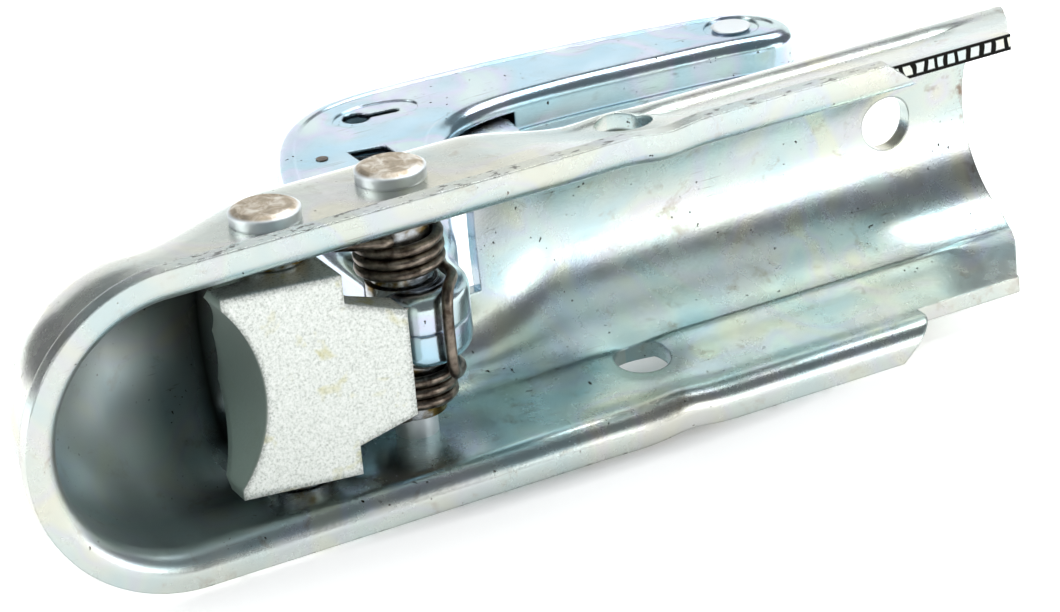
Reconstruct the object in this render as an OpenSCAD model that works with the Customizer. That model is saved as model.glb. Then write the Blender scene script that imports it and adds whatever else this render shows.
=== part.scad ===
// Ball coupling head of pressed sheet steel for a trailer drawbar, with its release lever.
// It stands on its lower rim: +Z is up, the nose points to -Y and the left side is +X.
// Sub-parts are drawn with X forward from the cut rear end, Y to the left and Z up from the rim.

/* [Housing] */
// Length from the cut rear end to the front of the nose flange, mm
body_length = 242.4; // [240:0.1:246]
// Sheet thickness of the housing, mm
sheet = 3.5; // [3:0.1:4]
// Half of the clear width between the side walls, mm
half_width = 26.3; // [25.8:0.1:27]
// Flange width outside the wall, mm
flange_out = 4.3; // [3.8:0.1:6]
// Radius of the drawbar tube seat, mm
tube_r = 25; // [24.5:0.1:25.4]
// Height of the tube seat axis above the rim, mm
tube_z = 20.6; // [20:0.1:21]
// Half width over the pressed-in groove beside the seat, mm
groove_y = 26.6; // [26:0.1:27.2]
// Height of the pressed-in groove, mm
groove_z = 25.2; // [24.4:0.1:26]
// Top height of the front box beside the dome, mm
roof_z = 45.5; // [45:0.1:47]
// Outside corner radius of the front roof, mm
roof_r = 15.5; // [14:0.1:16]
// Height where the side walls are sheared at the rear, mm
shear_z = 7.6; // [7:0.1:8.5]
// Length of the rear end that has no flange, mm
flange_free = 36.3; // [30:0.1:42]
// Inside radius of the bend between wall and flange, mm
bend_in = 1.5; // [1:0.1:1.8]

/* [Holes] */
// Diameter of the drawbar bolt holes, mm
bolt_d = 12.2; // [10:0.1:12.6]
// Distance of the upright bolt hole from the rear end, mm
bolt_x = 20.3; // [16:0.1:28]
// Distance of the cross bolt holes from the rear end, mm
cross_x = 98.4; // [92:0.1:101]
// Height of the cross bolt holes, mm
cross_z = 20.9; // [20:0.1:22]

/* [Ball and jaw] */
// Height of the ball centre above the rim, mm
ball_z = 15; // [14.5:0.1:16]
// Distance of the jaw rivet from the rear end, mm
jaw_x = 179.9; // [179.5:0.1:180.5]
// Height of the jaw rivet, mm
jaw_z = 19.3; // [19:0.1:19.8]
// Half width of the jaw block, mm
jaw_half = 21.6; // [20:0.1:22.5]
// Half width of the jaw tongue at its root, mm
tongue_half = 15.4; // [12:0.1:17]
// Radius of the hollow in the face of the jaw, mm
face_r = 31; // [29:0.1:36]

/* [Rivets and spring] */
// Distance of the lever rivet from the rear end, mm
pivot_x = 150.7; // [150:0.1:151.2]
// Height of the lever rivet, mm
pivot_z = 22.6; // [22.4:0.1:23]
// Radius of both rivet shanks, mm
rivet_r = 4.5; // [4:0.1:4.8]
// Radius of the rivet heads, mm
head_r = 7.3; // [6.5:0.1:8.5]
// Height of the rivet heads, mm
head_h = 3.1; // [2:0.1:4]
// Wire diameter of the jaw spring, mm
wire_d = 2.4; // [1.8:0.1:2.5]
// Mean coil radius of the jaw spring, mm
coil_r = 8.3; // [8:0.1:8.8]
// Turns in each coil of the jaw spring
coil_turns = 4; // [3:1:4]

/* [Lever] */
// Half width of the lever, mm
lever_half = 8.2; // [7.8:0.1:8.6]
// Sheet thickness of the lever halves, mm
lever_sheet = 1.8; // [1.4:0.1:2]
// Radius of the lever hub and cam, mm
hub_r = 13.8; // [13:0.1:13.9]
// Radius of the lock hole in the left lever half, mm
lock_r = 3.2; // [2.5:0.1:3.6]

/* [Hidden] */
$fn = 64;
fit = 0.08;
gap = 0.3;
wall_out = half_width + sheet;
rim_half = wall_out + flange_out;
nose_x = body_length - rim_half;
bend_c = wall_out + bend_in;
bend_z = sheet + bend_in;
foot_z = shear_z + 1;
hull_fn = 40;
// the walls lean in behind the front box, and the box begins with a ramp
ramp_x = 109.4;
rail_x0 = 129;
rail_x1 = 179;
lean_y = 27.4;
join_a = 16;
crown_end = 134.5;
crown_slope = 6;
cut_len = 13;
// the lower corners of the rear end are cut back
rear_cut = [[-1, shear_z - 1], [12.2, shear_z - 1], [11.8, 8], [9.4, 12], [4.4, 20], [1.4, 26],
  [0.2, 30], [-1, 31]];
slot_side = 1.5;
slot_x0 = pivot_x - 27;
slot_x1 = pivot_x + 30.6;
// jaw: front corner, back of the block, tip of the tongue
jaw_front = 196.5;
jaw_mid = 172.4;
jaw_back = 160.2;
jaw_top = 29;
jaw_dip = 6.8;
jaw_line = [[jaw_back, 0.5], [jaw_front, 6.6], [jaw_front, jaw_top - 8], [jaw_front - 5, jaw_top],
  [jaw_mid + 3, jaw_top], [jaw_mid, jaw_top - 3], [jaw_mid, 10.5], [jaw_mid - 3, 8], [jaw_back, 8]];
jaw_bevel = 23;
coil_y0 = lever_half + 1.8;
coil_pitch = wire_d + 0.1;
sleeve_end = coil_y0 + coil_turns * coil_pitch + 1;
sleeve_r = coil_r - wire_d / 2 - 0.4;
loop_r = hub_r + wire_d / 2 + 0.6;
loop_a = -98;
leg_tip = [jaw_mid - gap - wire_d / 2, coil_y0 + coil_turns * coil_pitch + 0.5, jaw_z + 3];
// lever, side view from the hub up the front, over the top and back along the grip
hub_flat = 6.9;
neck_line = [[pivot_x + hub_flat, pivot_z], [pivot_x + hub_flat, 44], [156.6, 56], [153.2, 70],
  [149.6, 82], [146, 93], [141.5, 103.5], [136.5, 111.5], [130, 118], [122, 122], [112, 123.3],
  [97, 122.8], [76, 121.6], [53, 118.2], [31, 114], [22, 111.5], [16.5, 107.5], [13.2, 102],
  [12.4, 97], [14, 91.5], [18, 88.4], [24, 88.8], [32, 91.2], [53, 93.4], [71, 95.2], [86, 95.4],
  [94, 94.8], [100.5, 92.6], [106, 88.5], [110.5, 82], [120, 62], [127, 46], [133.6, 31],
  [pivot_x - hub_r + 0.6, pivot_z + 3], [pivot_x - hub_r + 1, pivot_z]];
key_at = [119, 108.2];
key_slot = 9;
key_turn = 8;
window_at = [121.5, 82.5];
window_size = [8.3, 7.4];
grip_at = [25.9, 101.4];
grip_r = 3;
pin_at = [135.8, 90.7];
pin_r = 1.3;
tab_slot = [86.2, 20.4];
catch_half = 3.6;
catch_line = [[135.8, 94.2], [131, 94.8], [118, 103.6], [103, 103.4], [90, 101.4], [88.4, 94],
  [89.4, 86.4], [93, 84.6], [101, 85], [104, 89], [104.8, 96.4], [117, 97.2], [130, 88.2], [135.8, 87.2]];
catch_coil = [100, 103.8, 120.4];

// Turns the drawing axes into the axes of the standing part.
module stand() {
  translate([0, body_length / 2, 0]) rotate([0, 0, -90]) children();
}

// A bar along the drawing's Y axis from y0 to y1.
module cross_bar(x, z, r, y0, y1) {
  translate([x, y0, z]) rotate([-90, 0, 0]) cylinder(r = r, h = y1 - y0);
}

// A side-view outline, thickened from y0 to y1.
module side_plate(y0, y1) {
  translate([0, y1, 0]) rotate([90, 0, 0]) linear_extrude(height = y1 - y0) children();
}

// A cross-section outline, drawn out along X from x0 to x1.
module run_along(x0, x1) {
  translate([x0, 0, 0]) rotate([90, 0, 90]) linear_extrude(height = x1 - x0) children();
}

// Wall foot, bend and flange on the left side, in section.
module rim_section() {
  translate([half_width, bend_z]) square([sheet, foot_z - bend_z]);
  translate([bend_c, 0]) square([rim_half - bend_c, sheet]);
  difference() {
    translate([half_width, 0]) square([bend_c - half_width, bend_z]);
    difference() {
      translate([half_width - 1, -1]) square([bend_c - half_width + 1, bend_z + 1]);
      translate([bend_c, bend_z]) circle(r = sheet + bend_in);
    }
    translate([bend_c, bend_z]) circle(r = bend_in);
  }
}

// The rim along both sides and around the nose, cut on a slant at the rear.
module rim() {
  difference() {
    union() {
      run_along(flange_free - 2, nose_x) rim_section();
      run_along(flange_free - 2, nose_x) mirror([1, 0]) rim_section();
      translate([nose_x, 0, 0]) rotate([0, 0, -90])
        rotate_extrude(angle = 180, $fn = 96) rim_section();
    }
    for (s = [-1, 1])
      translate([0, 0, -1])
        linear_extrude(height = shear_z + 1)
          polygon([[flange_free - 5, s * (half_width - 1)], [flange_free, s * (half_width - 1)],
            [flange_free + cut_len, s * (rim_half + 1)], [flange_free - 5, s * (rim_half + 1)]]);
  }
}

// Outline of the rear end: round crown on two leaning walls with a pressed-in groove.
// c is the inset of its surface.
module rear_section(c) {
  r = tube_r + sheet - c;
  b = c > 0 ? bend_z - 1 : shear_z;
  join = tube_z + r * sin(join_a);
  intersection() {
    translate([0, tube_z]) circle(r = r, $fn = 96);
    translate([-50, join - 0.01]) square([100, 60]);
  }
  for (s = [-1, 1])
    polygon([[0, b], [s * (wall_out - c), b], [s * (wall_out - c), foot_z], [s * (lean_y - c), cross_z],
      [s * (groove_y - c), groove_z], [s * r * cos(join_a), join], [0, join]]);
}

// The drawn crown, which slopes down into the front box. c is the inset of its surface.
module crown(c) {
  intersection() {
    run_along(c > 0 ? -1 : 0, crown_end - c) rear_section(c);
    side_plate(-wall_out, wall_out)
      polygon([[-2, -1], [crown_end, -1], [crown_end, roof_z - c - 0.5],
        [crown_end - crown_slope, tube_z + tube_r + sheet - c], [-2, tube_z + tube_r + sheet - c + 1]]);
  }
}

// Front box, nose and dome as one drawn form. c is the inset of its surface.
module front_form(c) {
  low = bend_z - (c > 0 ? 1 : 0);
  hull() {
    for (s = [-1, 1]) {
      translate([rail_x0 + 0.6 * c, s * (wall_out - roof_r), roof_z - roof_r]) rotate([0, 90, 0])
        cylinder(r = roof_r - c, h = rail_x1 - rail_x0 - 0.6 * c, $fn = hull_fn);
      translate([ramp_x + c, s * (wall_out - c) - (s > 0 ? 1 : 0), low])
        cube([1, 1, foot_z - low]);
      translate([ramp_x + c, s * (groove_y - c) - (s > 0 ? 1 : 0), groove_z - 1])
        cube([1, 1, 1]);
    }
    translate([nose_x, 0, low]) cylinder(r = wall_out - c, h = ball_z - low, $fn = 96);
    translate([nose_x, 0, ball_z]) sphere(r = wall_out - c, $fn = 64);
  }
}

module housing() {
  color("silver")
    difference() {
      union() {
        difference() {
          front_form(0);
          translate([0, -60, bend_z - 60]) cube([300, 120, 60]);
        }
        crown(0);
        rim();
      }
      front_form(sheet);
      crown(sheet);
      // the space under the wall foot stays open
      translate([ramp_x + 6, -half_width, -1]) cube([nose_x - ramp_x - 6, 2 * half_width, bend_z + 1]);
      // upright bolt hole in the crown, cross bolt holes in both walls
      translate([bolt_x, 0, tube_z]) cylinder(d = bolt_d, h = tube_r + sheet + 1);
      cross_bar(cross_x, cross_z, bolt_d / 2, -wall_out - 1, wall_out + 1);
      for (p = [[jaw_x, jaw_z], [pivot_x, pivot_z]])
        cross_bar(p[0], p[1], rivet_r + 0.05, -wall_out - 1, wall_out + 1);
      // opening in the roof for the lever
      translate([slot_x0, -lever_half - slot_side, roof_z - roof_r])
        cube([slot_x1 - slot_x0, 2 * (lever_half + slot_side), wall_out]);
      side_plate(-wall_out - 1, wall_out + 1) polygon(rear_cut);
    }
}

// Jaw block with a hollow front face and a tapered tongue at the back.
module jaw() {
  color("gainsboro")
    difference() {
      side_plate(-jaw_half, jaw_half) polygon(jaw_line);
      for (s = [-1, 1])
        scale([1, s, 1]) translate([0, 0, -1]) linear_extrude(height = 60)
          polygon([[jaw_back - 1, tongue_half - 4.4], [jaw_mid, tongue_half], [jaw_mid, jaw_half + 1],
            [jaw_back - 1, jaw_half + 1]]);
      translate([jaw_front - jaw_dip + face_r, 0, -1]) cylinder(r = face_r, h = 80, $fn = 128);
      cross_bar(jaw_x, jaw_z, rivet_r + fit, -jaw_half - 1, jaw_half + 1);
      // the front edge is bevelled to follow the dome
      for (s = [-1, 1])
        translate([jaw_x + 9, s * jaw_half, jaw_top]) rotate([45, 0, 0])
          translate([0, -jaw_bevel / 2, -jaw_bevel / 2]) cube([30, jaw_bevel, jaw_bevel]);
    }
}

// Solid bar with two formed heads across the housing.
module rivet(x, z) {
  cross_bar(x, z, rivet_r, -wall_out - 1, wall_out + 1);
  for (s = [0, 1])
    mirror([0, s, 0]) {
      cross_bar(x, z, head_r, wall_out, wall_out + head_h - 0.8);
      translate([x, wall_out + head_h - 0.8, z]) rotate([-90, 0, 0])
        cylinder(r1 = head_r, r2 = head_r - 1.6, h = 0.8);
    }
}

module jaw_rivet() {
  color("tan") rivet(jaw_x, jaw_z);
}

module lever_rivet() {
  color("tan") rivet(pivot_x, pivot_z);
}

// Ring that keeps the jaw in the middle of the housing, on the left.
module jaw_spacer() {
  color("lightgray")
    difference() {
      cross_bar(jaw_x, jaw_z, rivet_r + 3, jaw_half + 0.2, half_width - gap);
      cross_bar(jaw_x, jaw_z, rivet_r + 0.05, jaw_half, half_width + 1);
    }
}

// Tube on the lever rivet that carries a coil of the spring, on the left.
module spring_sleeve() {
  color("darkgray")
    difference() {
      cross_bar(pivot_x, pivot_z, sleeve_r, lever_half + 0.4, sleeve_end);
      cross_bar(pivot_x, pivot_z, rivet_r + 0.05, lever_half, sleeve_end + 1);
    }
}

// Unit vector.
function unit(v) = v / norm(v);
// Rings that turn as little as possible from one to the next.
function carry(a, d) = unit(a - (a * d) * d);
function frames(dirs, i, a) =
  i >= len(dirs) ? [] :
  let (n = carry(a, dirs[i])) concat([n], frames(dirs, i + 1, n));

module wire(path, r, n = 8) {
  m = len(path);
  dirs = [for (i = [0:m - 1]) unit(path[min(i + 1, m - 1)] - path[max(i - 1, 0)])];
  first = unit(cross(dirs[0], abs(dirs[0][1]) > 0.9 ? [1, 0, 0] : [0, 1, 0]));
  sides = frames(dirs, 0, first);
  points = [for (i = [0:m - 1]) let (a = sides[i], b = cross(dirs[i], a))
    for (k = [0:n - 1]) path[i] + r * (cos(360 * k / n) * a + sin(360 * k / n) * b)];
  skin = [for (i = [0:m - 2]) for (k = [0:n - 1])
    [i * n + k, i * n + (k + 1) % n, (i + 1) * n + (k + 1) % n, (i + 1) * n + k]];
  start = [[for (k = [n - 1:-1:0]) k]];
  end = [[for (k = [0:n - 1]) (m - 1) * n + k]];
  polyhedron(points = points, faces = concat(start, skin, end), convexity = 10);
}

// Points of a coil about the lever rivet, from angle a0 and width y0, outward by turns.
function coil(a0, turns, y0, pitch, side) =
  [for (i = [0:20 * turns])
    let (a = a0 - 18 * i)
    [pivot_x + coil_r * cos(a), side * (y0 + pitch * i / 20), pivot_z + coil_r * sin(a)]];

function half_spring(side) =
  let (c = coil(-150, coil_turns - 0.25, coil_y0, coil_pitch, side), e = c[len(c) - 1],
    x = pivot_x + loop_r * cos(loop_a), z = pivot_z + loop_r * sin(loop_a))
  concat(
    [[x, side * 5, z], [x - 0.4, side * (coil_y0 - 2.6), z + 0.3], [x - 1.4, side * (coil_y0 - 0.2), z + 1.6],
      [pivot_x - 7.3, side * coil_y0, pivot_z - 9.5]],
    c, [[(leg_tip[0] + e[0]) / 2, e[1], (leg_tip[2] + e[2]) / 2], [leg_tip[0], side * leg_tip[1], leg_tip[2]]]);

// One wire: leg, coil, loop under the hub, coil, leg.
module spring() {
  right = half_spring(-1);
  left = half_spring(1);
  n = len(right);
  color("dimgray")
    wire(concat([for (i = [n - 1:-1:0]) right[i]], left), wire_d / 2);
}

// Outline moved inward by c, for points listed counterclockwise.
function inset(p, c) = [for (i = [0:len(p) - 1])
  let (a = unit(p[i] - p[(i + len(p) - 1) % len(p)]), b = unit(p[(i + 1) % len(p)] - p[i]),
    m = [-a[1], a[0]], n = [-b[1], b[0]])
  p[i] + c * (m + n) / (1 + m * n)];

// Side view of the hub with its flat front.
module hub_side(c) {
  difference() {
    translate([pivot_x, pivot_z]) circle(r = hub_r - c);
    translate([pivot_x + hub_flat - c, pivot_z - 40]) square([40, 80]);
  }
}

// Side view of the lever: hub, neck and grip. c is the inset.
module lever_side(c) {
  hub_side(c);
  polygon(inset(neck_line, c));
}

module keyhole() {
  circle(r = lock_r);
  translate([-key_slot, -1.2]) square([key_slot, 2.4]);
  translate([-key_slot, 0]) circle(r = 1.2);
}

// One half of the lever: a pan that opens to the middle.
module lever_shell() {
  difference() {
    side_plate(0, lever_half) lever_side(0);
    side_plate(-1, lever_half - lever_sheet) lever_side(lever_sheet);
    cross_bar(pivot_x, pivot_z, rivet_r + 3.05, -1, lever_half + 1);
    // slot for the finger tab of the catch
    translate([tab_slot[0], -1, 80]) cube([tab_slot[1], catch_half + 2, 17.6]);
    cross_bar(pin_at[0], pin_at[1], pin_r + 0.05, -1, lever_half + 1);
    cross_bar(grip_at[0], grip_at[1], grip_r + 0.05, -1, lever_half + 1);
    // dished seat of the grip rivet
    translate([grip_at[0], lever_half - 0.8, grip_at[1]]) rotate([-90, 0, 0])
      cylinder(r1 = grip_r + 1, r2 = grip_r + 2.6, h = 1);
  }
}

module lever_left() {
  color("lightsteelblue")
    difference() {
      lever_shell();
      side_plate(lever_half - 3, lever_half + 1) translate(key_at) rotate(key_turn) keyhole();
      side_plate(lever_half - 3, lever_half + 1) translate(window_at) square(window_size);
    }
}

module lever_right() {
  color("lightsteelblue") mirror([0, 1, 0]) lever_shell();
}

// Cam plate between the two hub cheeks.
module lever_cam() {
  half = lever_half - lever_sheet - 0.05;
  color("slategray")
    difference() {
      side_plate(-half, half) hub_side(lever_sheet + 0.05);
      cross_bar(pivot_x, pivot_z, rivet_r + 3.05, -30, 30);
    }
}

// Bearing tube of the lever on its rivet.
module lever_bush() {
  color("darkgray")
    difference() {
      cross_bar(pivot_x, pivot_z, rivet_r + 3, -lever_half, lever_half);
      cross_bar(pivot_x, pivot_z, rivet_r + fit, -lever_half - 1, lever_half + 1);
    }
}

module grip_rivet() {
  color("silver")
    union() {
      cross_bar(grip_at[0], grip_at[1], grip_r, -lever_half + 0.7, lever_half - 0.7);
      for (s = [0, 1])
        mirror([0, s, 0])
          translate([grip_at[0], lever_half - 0.75, grip_at[1]]) rotate([-90, 0, 0])
            cylinder(r1 = grip_r + 0.9, r2 = grip_r + 1.6, h = 0.7);
    }
}

// Finger tab and arm of the catch, inside the lever.
module catch() {
  color("gainsboro")
    difference() {
      union() {
        side_plate(-catch_half, catch_half) polygon(catch_line);
        cross_bar(pin_at[0], pin_at[1], 3.5, -catch_half, catch_half);
      }
      cross_bar(pin_at[0], pin_at[1], pin_r + fit, -catch_half - 1, catch_half + 1);
    }
}

module catch_pin() {
  color("gray") cross_bar(pin_at[0], pin_at[1], pin_r, -lever_half + 0.1, lever_half - 0.1);
}

// Compression spring between the catch and the roof of the grip.
module catch_spring() {
  rise = catch_coil[2] - catch_coil[1];
  color("dimgray")
    wire([for (i = [0:90])
      [catch_coil[0] + 2.2 * cos(24 * i), 2.2 * sin(24 * i), catch_coil[1] + rise * i / 90]], 0.4, 6);
}

stand() housing();
stand() jaw();
stand() jaw_rivet();
stand() jaw_spacer();  // jaw_spacer_left
stand() mirror([0, 1, 0]) jaw_spacer();  // jaw_spacer_right
stand() lever_rivet();
stand() spring_sleeve();  // spring_sleeve_left
stand() mirror([0, 1, 0]) spring_sleeve();  // spring_sleeve_right
stand() spring();
stand() lever_left();
stand() lever_right();
stand() lever_cam();
stand() lever_bush();
stand() grip_rivet();
stand() catch();
stand() catch_pin();
stand() catch_spring();
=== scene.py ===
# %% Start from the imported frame
import bmesh
import bpy
import math
import numpy as np
from mathutils import Matrix, Vector


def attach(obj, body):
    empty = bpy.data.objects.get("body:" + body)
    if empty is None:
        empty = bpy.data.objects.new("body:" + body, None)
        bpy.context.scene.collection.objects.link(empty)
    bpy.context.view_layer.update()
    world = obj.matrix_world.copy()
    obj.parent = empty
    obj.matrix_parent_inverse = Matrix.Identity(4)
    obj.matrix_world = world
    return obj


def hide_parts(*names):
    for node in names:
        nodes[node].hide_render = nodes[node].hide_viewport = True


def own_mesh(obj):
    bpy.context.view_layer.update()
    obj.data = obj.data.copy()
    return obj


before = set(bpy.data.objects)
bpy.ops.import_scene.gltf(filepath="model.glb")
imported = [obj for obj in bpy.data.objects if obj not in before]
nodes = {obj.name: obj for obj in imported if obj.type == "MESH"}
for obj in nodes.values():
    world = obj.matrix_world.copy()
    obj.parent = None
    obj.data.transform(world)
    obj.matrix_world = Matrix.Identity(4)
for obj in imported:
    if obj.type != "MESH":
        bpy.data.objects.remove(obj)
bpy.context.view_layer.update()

# %% [markdown]
# # A pressed-steel trailer coupling head
# The object is a zinc-plated ball coupling for a trailer: a deep-drawn housing, a sprung jaw and a
# release lever. The solids come from the CAD frame, and those whose shape is right only get a finish.
# The housing, the two halves of the lever and the two springs are drawn again here, because a press
# and a wire bender leave soft shapes, and those are easier to make in Blender.
#
# Every place below is given as on a workshop drawing, in millimetres: x forward from the cut rear
# end, y to the left and z up from the lower rim. One function turns that into the scene's axes, so
# the numbers can be compared with the drawing.

# %% Drawing axes
MM = 0.001
LENGTH = 242.4


def place(x, y, z):
    """A point of the drawing, in millimetres, as a point of the scene, in metres."""
    return Vector((y, LENGTH / 2 - x, z)) * MM


print("front of the nose at", place(LENGTH, 0, 0))

# %% [markdown]
# The photograph was taken from below the nose, on the left side, with the coupling lying on its
# right flank. The camera could be turned by hand until it looks right, but a fit to the round holes
# and the rivet heads gives its place and its three directions. The lens is long, so the far end of
# the coupling looks nearly as large as the nose.

# %% Camera at the photograph's angle
CAMERA_PLACE = Vector((331.4, -333.7, -652.1)) * MM
image_right = Vector((-0.08353, 0.87671, -0.47372))
image_up = Vector((0.90831, 0.26251, 0.32567))
to_camera = Vector((0.40988, -0.40308, -0.81825))
camera_data = bpy.data.cameras.new("photo_camera")
camera_data.sensor_width = 36
camera_data.lens = 136.1
camera_data.clip_start = 0.01
camera_data.clip_end = 50
camera = bpy.data.objects.new("photo_camera", camera_data)
bpy.context.collection.objects.link(camera)
camera_turn = Matrix((image_right, image_up, to_camera)).transposed().to_4x4()
camera.matrix_world = Matrix.Translation(CAMERA_PLACE) @ camera_turn
bpy.context.scene.camera = camera
print("camera at", camera.matrix_world.translation)

# %% [markdown]
# Most pieces start as rows of points that are joined to faces. These helpers turn such points into a
# closed mesh, shade it smooth with its sharp edges kept, and put it in the scene: on the body that
# carries it, in place of the CAD solid that it stands for.

# %% Making a piece
SHARP_DEGREES = 32


def closed_mesh(name, verts, faces):
    """A mesh from points and faces, with doubled points joined and every face turned outward."""
    mesh = bpy.data.meshes.new(name)
    mesh.from_pydata([tuple(v) for v in verts], [], [tuple(f) for f in faces])
    bm = bmesh.new()
    bm.from_mesh(mesh)
    bmesh.ops.remove_doubles(bm, verts=bm.verts, dist=1e-6)
    bmesh.ops.recalc_face_normals(bm, faces=bm.faces)
    bm.to_mesh(mesh)
    bm.free()
    return mesh


def shade(mesh):
    """Smooth shading that stops at sharp edges."""
    for face in mesh.polygons:
        face.use_smooth = True
    mesh.set_sharp_from_angle(angle=math.radians(SHARP_DEGREES))
    mesh.update()


def enter(name, mesh, body, node):
    """Puts a mesh in the scene as the piece that stands for a CAD node."""
    obj = bpy.data.objects.new(name, mesh)
    bpy.context.collection.objects.link(obj)
    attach(obj, body)
    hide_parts(node)
    return obj


def piece(name, verts, faces, body, slot_name, node):
    """A piece made of points and faces."""
    mesh = closed_mesh(name, verts, faces)
    shade(mesh)
    return enter(name, mesh, body, node)


print("edges stay sharp above", SHARP_DEGREES, "degrees")

# %% [markdown]
# The housing is pressed from one steel sheet 3.5 mm thick, and the press gives it no hard edges. A box
# with rounded edges could be carved into it, but the sheet changes its section all the way along. So
# it is lofted: sections of its inner surface stand close together along the length and fan round the
# nose. All of them are made of a few lines and arcs, cut into the same number of points.

# %% Lines and arcs for the sections
def smooth_step(t):
    """Rises smoothly from 0 at 0 to 1 at 1."""
    t = min(max(t, 0.0), 1.0)
    return t * t * (3 - 2 * t)


def along(points, n):
    """n points spaced evenly along a line of points."""
    p = np.array(points, float)
    d = np.concatenate([[0], np.cumsum(np.linalg.norm(np.diff(p, axis=0), axis=1))])
    t = np.linspace(0, d[-1], n)
    return np.stack([np.interp(t, d, p[:, 0]), np.interp(t, d, p[:, 1])], 1)


def arc(cy, cz, r, a0, a1, n):
    """n points round a centre, between two angles in degrees."""
    t = np.radians(np.linspace(a0, a1, n))
    return np.stack([cy + r * np.cos(t), cz + r * np.sin(t)], 1)


def soften(p, rounds):
    """The same line with its corners eased, and its ends where they were."""
    p = p.copy()
    for _ in range(rounds):
        p[1:-1] = (p[:-2] + 2 * p[1:-1] + p[2:]) / 4
    return p


print("a quarter circle in three points:", arc(0, 0, 1, 0, 90, 3).round(2).tolist())

# %% [markdown]
# The rear is an arch on leaning walls, with a shallow groove over the drawbar tube's widest place.
# Further on it becomes a box with round corners, and over the ball it becomes a dome. Each of them is
# drawn from the bend over the flange up to the crown, on one side only.

# %% Three sections of the pressing
SHEET = 3.5
WALL_Y, WALL_FOOT = 26.3, 5.0          # inside of the wall, and the inner radius of its bend
TUBE_Z, TUBE_R = 20.6, 25              # centre and radius of the drawbar tube's seat
ROOF_Z, CORNER_R = 42, 12
BALL_X, BALL_Z = 208.25, 15.0
WALL_STEPS, TOP_STEPS = 26, 44


def arch_section(groove):
    """Leaning wall and half-round top, with the wall pressed in by the groove."""
    top = arc(0, TUBE_Z, TUBE_R, 15, 90, TOP_STEPS)
    wall = along([(WALL_Y, WALL_FOOT), (WALL_Y, 8.2), (24.1, 20.5), (23.9 - groove, 24.6), top[0]],
                 WALL_STEPS)
    return np.concatenate([soften(wall, 2), top[1:]])


def box_section():
    """Upright wall, round corner and flat roof."""
    wall = along([(WALL_Y, WALL_FOOT), (WALL_Y, ROOF_Z - CORNER_R)], WALL_STEPS)
    corner = arc(WALL_Y - CORNER_R, ROOF_Z - CORNER_R, CORNER_R, 0, 90, 24)
    top = along(np.concatenate([corner, [(0, ROOF_Z)]]), TOP_STEPS)
    return np.concatenate([wall, top[1:]])


def dome_section():
    """Low upright wall and a quarter circle over the ball."""
    wall = along([(WALL_Y, WALL_FOOT), (WALL_Y, BALL_Z)], WALL_STEPS)
    return np.concatenate([wall, arc(0, BALL_Z, WALL_Y, 0, 90, TOP_STEPS)[1:]])


print("crowns at", [float(s[-1][1].round(2)) for s in (arch_section(0), box_section(), dome_section())])

# %% [markdown]
# Between those three the section changes gradually, which is what a drawn sheet does. Two marks of
# the press are added to the points as well: the rim waves a little where the ramp pinched the sheet,
# and a shallow cone stands round each cross hole, where the punch pushed the wall.

# %% The section at any place along the length
FLANGE_EDGE = 33.9
GROOVE_START, GROOVE_END, BOX_START, DOME_START = 8, 112, 106, 172
RIM_WAVES = ((0.9, 99, 5.5), (-0.15, 111, 5))      # height, place and width
RIM_WAVE_TOP = 20                                  # where the waves have faded out
CROSS_X, CROSS_Z = 98.4, 20.9
CONE_HEIGHT, CONE_R = 0.9, 8.0
BEND_STEPS, FLANGE_STEPS = 12, 3


def half_section(x):
    """Flange edge to crown of the inner surface on one side, as (y, z)."""
    groove = smooth_step((x - GROOVE_START) / 14) * smooth_step((GROOVE_END - x) / 20)
    to_box = smooth_step((x - BOX_START) / 25)
    to_dome = smooth_step((x - DOME_START) / (BALL_X - DOME_START))
    upper = arch_section(groove) * (1 - to_box) + box_section() * to_box
    upper = upper * (1 - to_dome) + dome_section() * to_dome
    bend_y = WALL_Y + WALL_FOOT
    flange = along([(FLANGE_EDGE, 0), (bend_y, 0)], FLANGE_STEPS + 1)[:-1]
    bend = arc(bend_y, WALL_FOOT, WALL_FOOT, -90, -180, BEND_STEPS + 1)[:-1]
    line = np.concatenate([flange, bend, upper])
    wave = sum(height * math.exp(-((x - at) / width) ** 2) for height, at, width in RIM_WAVES)
    line[:, 0] -= wave * np.clip((RIM_WAVE_TOP - line[:, 1]) / RIM_WAVE_TOP, 0, 1)
    away = np.hypot(x - CROSS_X, line[:, 1] - CROSS_Z)
    on_wall = line[:, 0] > 20
    line[:, 0] += on_wall * CONE_HEIGHT * np.exp(-(away / CONE_R) ** 4)
    return line


print("points in a half section:", len(half_section(50)))

# %% [markdown]
# Now the sections are set up in rows. Rows 1.5 to 2 mm apart run along the length, each from the left
# flange over the crown to the right one. The nose is half of a turned shape, so the last section is
# swung round the ball's centre in spokes, and the first and last spoke are the two halves of the
# last row.

# %% Rows along the length and spokes round the nose
stations = np.concatenate([np.arange(0, 100, 2.0), np.arange(100, 206, 1.5), [BALL_X]])
rows = []
for x in stations:
    left = half_section(x)
    rows.append([(x, y, z) for y, z in left] + [(x, -y, z) for y, z in left[-2::-1]])
spokes = [[(BALL_X + y * math.cos(angle), y * math.sin(angle), z) for y, z in half_section(BALL_X)]
          for angle in np.radians(np.arange(88, -89, -2.0))]
points = [p for row in rows + spokes for p in row]
half, body_points = len(spokes[0]), len(rows) * len(rows[0])
row_numbers = np.arange(body_points).reshape(len(rows), -1)
spoke_numbers = np.arange(body_points, len(points)).reshape(len(spokes), -1)
spoke_numbers = np.concatenate([row_numbers[-1:, :half], spoke_numbers, row_numbers[-1:, ::-1][:, :half]])
quads = [(a[j], b[j], b[j + 1], a[j + 1]) for net in (row_numbers, spoke_numbers)
         for a, b in zip(net, net[1:]) for j in range(len(a) - 1)]
print("points:", len(points), "faces:", len(quads))

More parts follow.
